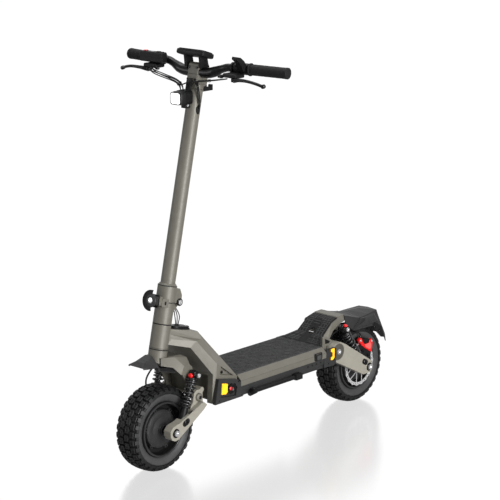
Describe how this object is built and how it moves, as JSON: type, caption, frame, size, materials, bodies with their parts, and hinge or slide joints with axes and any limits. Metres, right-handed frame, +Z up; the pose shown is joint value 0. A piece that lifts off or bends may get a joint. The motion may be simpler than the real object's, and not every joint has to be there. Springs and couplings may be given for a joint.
{
  "type": "electric kick scooter",
  "caption": "Folding electric kick scooter with front and rear swingarm suspension, off-road tyres, hub motors, disc brakes, lit deck corners and a raised rear footrest.",
  "frame": {"origin": "on the ground, in the middle of the scooter's length and width", "axes": "+X to the rider's left, +Y towards the rear wheel, +Z up"},
  "size_m": [0.6236, 1.1463, 1.2083],
  "materials": {
    "olive_paint": "satin",
    "black_metal": "satin",
    "black_plastic": "matte",
    "dark_plastic": "matte",
    "tyre": "matte",
    "rubber": "matte",
    "deck_rubber": "matte",
    "amber_lens": "gloss",
    "red_metal": "satin",
    "steel": "polished",
    "battery_wrap": "satin",
    "alloy": "satin"
  },
  "bodies": {
    "chassis": {"neck_frame": "olive_paint", "neck_top_cover": "black_plastic", "headset": "black_metal", "deck_frame": "olive_paint", "deck_mat": "deck_rubber", "footrest": "olive_paint", "belly_cover": "dark_plastic", "battery_pack": "battery_wrap", "motor_controller": "alloy", "front_lens_left": "amber_lens", "front_lens_right": "amber_lens", "rear_lens_left": "amber_lens", "rear_lens_right": "amber_lens", "rear_fender": "dark_plastic"},
    "charge_cap": {"charge_port_cap": "rubber"},
    "kickstand": {"kickstand": "black_metal"},
    "steering": {"fork": "olive_paint", "front_fender": "dark_plastic", "steerer_head": "olive_paint", "fold_pin": "steel"},
    "stem": {"stem": "olive_paint", "stem_hook": "black_metal", "handlebar": "black_metal", "grip_left": "rubber", "grip_right": "rubber", "lever_perch_left": "black_metal", "lever_perch_right": "black_metal", "switch_pod": "black_plastic", "display": "black_plastic", "headlight": "black_plastic", "control_cables": "black_plastic"},
    "fold_knob": {"fold_knob": "black_plastic"},
    "brake_lever_left": {"brake_lever_left": "black_metal"},
    "brake_lever_right": {"brake_lever_right": "black_metal"},
    "throttle": {"throttle_paddle": "black_plastic"},
    "horn_button": {"horn_button": "red_metal"},
    "front_arm": {"front_swingarm": "olive_paint", "front_axle_stator": "steel", "front_caliper": "red_metal"},
    "front_wheel": {"front_tyre": "tyre", "front_hub_motor": "black_metal", "front_brake_disc": "steel"},
    "rear_arm": {"rear_swingarm": "olive_paint", "rear_axle_stator": "steel", "rear_caliper": "red_metal"},
    "rear_wheel": {"rear_tyre": "tyre", "rear_hub_motor": "black_metal", "rear_brake_disc": "steel"},
    "front_shock_body": {"front_shock_left_damper": "black_metal", "front_shock_right_damper": "black_metal", "front_shock_left_spring": "black_metal", "front_shock_right_spring": "black_metal"},
    "front_shock_rod": {"front_shock_left_rod": "black_metal", "front_shock_right_rod": "black_metal"},
    "rear_shock_body": {"rear_shock_left_damper": "black_metal", "rear_shock_right_damper": "black_metal", "rear_shock_left_spring": "black_metal", "rear_shock_right_spring": "black_metal"},
    "rear_shock_rod": {"rear_shock_left_rod": "black_metal", "rear_shock_right_rod": "black_metal"}
  },
  "joints": [
    {"name": "steering_turn", "type": "hinge", "parent": "chassis", "child": "steering", "pos_m": [0, -0.42832, 0.36035], "axis": [0, 0.2152, 0.9766], "range_deg": [-42, 42]},
    {"name": "stem_fold", "type": "hinge", "parent": "steering", "child": "stem", "pos_m": [0, -0.36499, 0.48975], "axis": [-1, 0, 0], "range_deg": [0, 90]},
    {"name": "fold_knob_turn", "type": "hinge", "parent": "stem", "child": "fold_knob", "pos_m": [0, -0.44362, 0.50606], "axis": [0, -0.9766, 0.2152], "range_deg": [0, 180]},
    {"name": "brake_lever_left_pull", "type": "hinge", "parent": "stem", "child": "brake_lever_left", "pos_m": [0.168, -0.28675, 1.137], "axis": [0, 0, 1], "range_deg": [0, 15], "stiffness_Nm_per_rad": 1, "springref_deg": -17.19},
    {"name": "brake_lever_right_pull", "type": "hinge", "parent": "stem", "child": "brake_lever_right", "pos_m": [-0.168, -0.28675, 1.137], "axis": [0, 0, -1], "range_deg": [0, 15], "stiffness_Nm_per_rad": 1, "springref_deg": -17.19},
    {"name": "throttle_press", "type": "hinge", "parent": "stem", "child": "throttle", "pos_m": [0.174, -0.24504, 1.16391], "axis": [0.9831, 0.1823, -0.0144], "range_deg": [0, 14], "stiffness_Nm_per_rad": 0.3, "springref_deg": -28.65},
    {"name": "horn_press", "type": "slide", "parent": "stem", "child": "horn_button", "axis": [0, 0, -1], "range_m": [0, 0.0018], "stiffness_N_per_m": 400, "springref_m": -0.001},
    {"name": "charge_cap_flip", "type": "hinge", "parent": "chassis", "child": "charge_cap", "pos_m": [0.1072, 0.15925, 0.214], "axis": [0, 1, 0], "range_deg": [0, 150]},
    {"name": "kickstand_swing", "type": "hinge", "parent": "chassis", "child": "kickstand", "pos_m": [0.114, -0.14675, 0.19], "axis": [-0.8571, 0, -0.5151], "range_deg": [0, 104]},
    {"name": "front_arm_swing", "type": "hinge", "parent": "steering", "child": "front_arm", "pos_m": [0, -0.33475, 0.207], "axis": [-1, 0, 0], "range_deg": [0, 10], "stiffness_Nm_per_rad": 300, "springref_deg": -5.73},
    {"name": "front_wheel_spin", "type": "hinge", "parent": "front_arm", "child": "front_wheel", "pos_m": [0, -0.44575, 0.1275], "axis": [1, 0, 0], "continuous": true},
    {"name": "rear_arm_swing", "type": "hinge", "parent": "chassis", "child": "rear_arm", "pos_m": [0, 0.27325, 0.214], "axis": [1, 0, 0], "range_deg": [0, 9], "stiffness_Nm_per_rad": 400, "springref_deg": -6.88},
    {"name": "rear_wheel_spin", "type": "hinge", "parent": "rear_arm", "child": "rear_wheel", "pos_m": [0, 0.43555, 0.1275], "axis": [1, 0, 0], "continuous": true},
    {"name": "front_shock_swing", "type": "hinge", "parent": "steering", "child": "front_shock_body", "pos_m": [0, -0.35175, 0.279], "axis": [-1, 0, 0], "range_deg": [0, 5.69]},
    {"name": "front_shock_slide", "type": "slide", "parent": "front_shock_body", "child": "front_shock_rod", "axis": [0, 0.3739, 0.9275], "range_m": [0, 0.008], "deforming": ["front_shock_left_spring", "front_shock_right_spring"]},
    {"name": "rear_shock_swing", "type": "hinge", "parent": "chassis", "child": "rear_shock_body", "pos_m": [0, 0.32325, 0.274], "axis": [1, 0, 0], "range_deg": [0, 8.07]},
    {"name": "rear_shock_slide", "type": "slide", "parent": "rear_shock_body", "child": "rear_shock_rod", "axis": [0, -0.5828, 0.8126], "range_m": [0, 0.0121], "deforming": ["rear_shock_left_spring", "rear_shock_right_spring"]}
  ],
  "couplings": [
    {"joint": "front_shock_swing", "follows": "front_arm_swing", "ratio": 0.56845},
    {"joint": "front_shock_slide", "follows": "front_arm_swing", "m_per_rad": 0.044898},
    {"joint": "rear_shock_swing", "follows": "rear_arm_swing", "ratio": 0.89622},
    {"joint": "rear_shock_slide", "follows": "rear_arm_swing", "m_per_rad": 0.07648}
  ]
}
